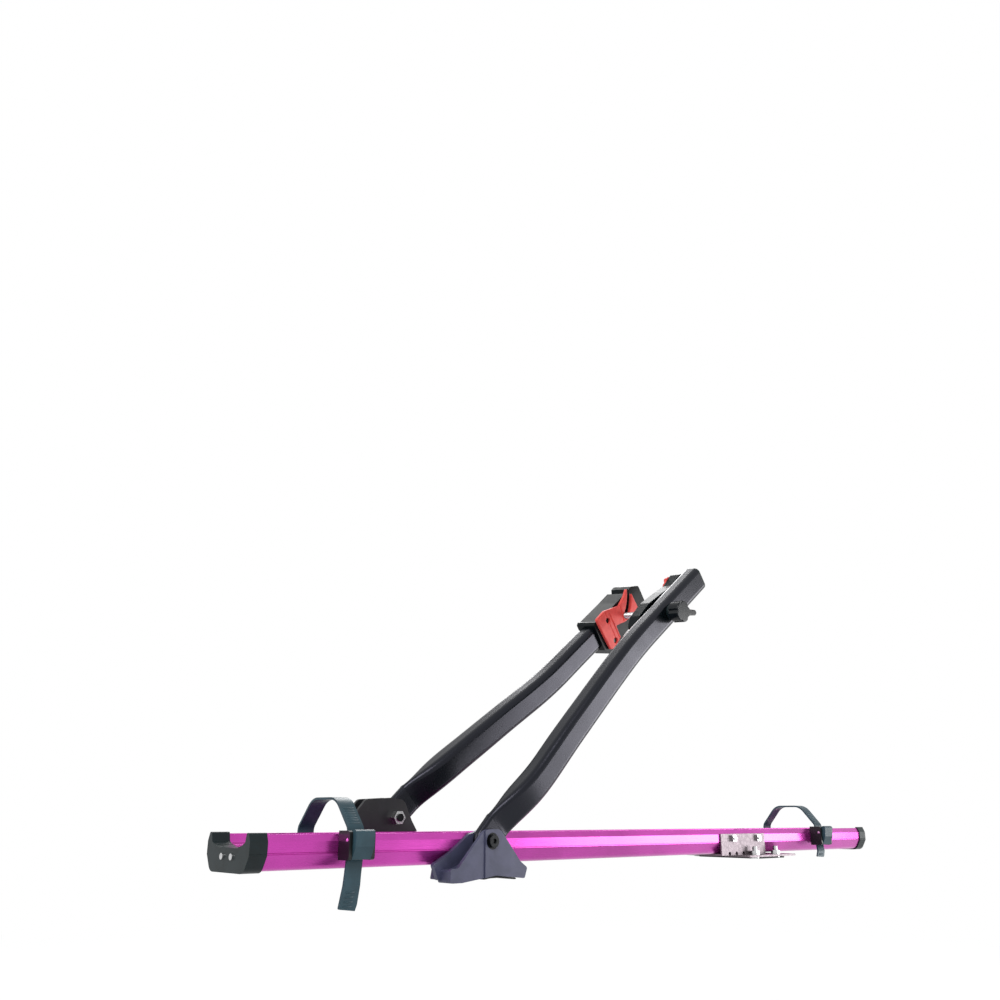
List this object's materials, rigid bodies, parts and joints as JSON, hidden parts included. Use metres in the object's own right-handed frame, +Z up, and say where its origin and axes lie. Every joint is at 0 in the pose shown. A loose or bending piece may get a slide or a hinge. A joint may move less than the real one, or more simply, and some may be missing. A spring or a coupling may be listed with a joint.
{
  "type": "roof mounted bike carrier",
  "caption": "Roof bike carrier with a grooved wheel tray, folding clamp arms with padded jaws and a screw knob, wheel straps with buckles, and bar mounts.",
  "frame": {"origin": "on the flat underside of the front bar block, on the tray's middle plane, under the pivot of the near arm", "axes": "+X to the rear along the tray, +Y to the tray's far side, +Z up"},
  "size_m": [1.3576, 0.2042, 0.5016],
  "materials": {
    "tray": "anodised magenta",
    "cap": "moulded black",
    "foot": "moulded black, grained",
    "rubber": "black rubber",
    "zinc": "zinc plated steel",
    "arm": "satin black coating",
    "jaw": "moulded black",
    "pad": "coral red rubber",
    "knob": "gloss black",
    "brass": "turned brass",
    "strap": "slate grey flexible plastic",
    "bush": "natural bearing plastic"
  },
  "bodies": {
    "tray": {"wheel_tray": "tray", "front_end_cap": "cap", "rear_end_cap": "cap", "end_cap_screws": "zinc", "foot_body": "foot", "foot_saddle_pad": "rubber", "foot_cross_plate": "zinc", "front_bar_block": "cap", "slot_bolts": "zinc", "slot_nuts": "zinc", "plate_screws": "zinc", "near_pivot_bolt": "zinc", "near_pivot_washer": "zinc", "far_bracket": "foot", "far_bracket_screws": "zinc", "far_pivot_bolt": "zinc", "far_pivot_nut": "zinc", "rear_plate_near": "zinc", "rear_plate_far": "zinc", "rear_side_bolts": "zinc", "rear_square_nuts": "zinc", "rear_saddle_plate": "zinc", "rear_pad_bolts": "zinc", "rear_pad_nuts": "zinc", "rear_bar_pad": "rubber", "front_wheel_strap": "strap", "front_buckle_body": "cap", "front_lever_pin": "zinc", "front_strap_anchor": "cap", "front_anchor_pin": "zinc", "rear_wheel_strap": "strap", "rear_buckle_body": "cap", "rear_lever_pin": "zinc", "rear_strap_anchor": "cap", "rear_anchor_pin": "zinc"},
    "near_arm": {"near_arm": "arm", "near_arm_end_plug": "cap", "near_pivot_bush": "bush", "near_jaw_body": "jaw", "near_jaw_pad": "pad", "near_jaw_screws": "zinc", "clamp_nut": "zinc"},
    "far_arm": {"far_arm": "arm", "far_pivot_bush": "bush", "far_jaw": "jaw", "far_jaw_pad": "pad", "far_pad_screws": "zinc"},
    "knob_carrier": {"thrust_washer": "cap"},
    "knob": {"clamp_knob": "knob", "knob_insert": "brass", "clamp_rod": "zinc"},
    "front_lever": {"front_buckle_lever": "strap"},
    "rear_lever": {"rear_buckle_lever": "strap"}
  },
  "joints": [
    {"name": "near_arm_fold", "type": "hinge", "parent": "tray", "child": "near_arm", "pos_m": [0, -0.0602, 0.0481], "axis": [0, 1, 0], "range_deg": [0, 36]},
    {"name": "far_arm_fold", "type": "hinge", "parent": "tray", "child": "far_arm", "pos_m": [-0.066, 0.056, 0.076], "axis": [0, 1, 0], "range_deg": [0, 36]},
    {"name": "knob_travel", "type": "slide", "parent": "near_arm", "child": "knob_carrier", "axis": [0, -0.9959, -0.0906], "range_m": [0, 0.0239]},
    {"name": "knob_turn", "type": "hinge", "parent": "knob_carrier", "child": "knob", "pos_m": [0.3551, -0.0915, 0.3921], "axis": [0, -0.9959, -0.0906], "range_deg": [0, 2880]},
    {"name": "front_lever_open", "type": "hinge", "parent": "tray", "child": "front_lever", "pos_m": [-0.198, -0.0648, 0.052], "axis": [-1, 0, 0], "range_deg": [0, 55]},
    {"name": "rear_lever_open", "type": "hinge", "parent": "tray", "child": "rear_lever", "pos_m": [0.837, -0.0648, 0.052], "axis": [-1, 0, 0], "range_deg": [0, 55]}
  ],
  "couplings": [
    {"joint": "far_arm_fold", "follows": "near_arm_fold", "ratio": 1},
    {"joint": "knob_turn", "follows": "knob_travel", "rad_per_m": 2094.4}
  ]
}
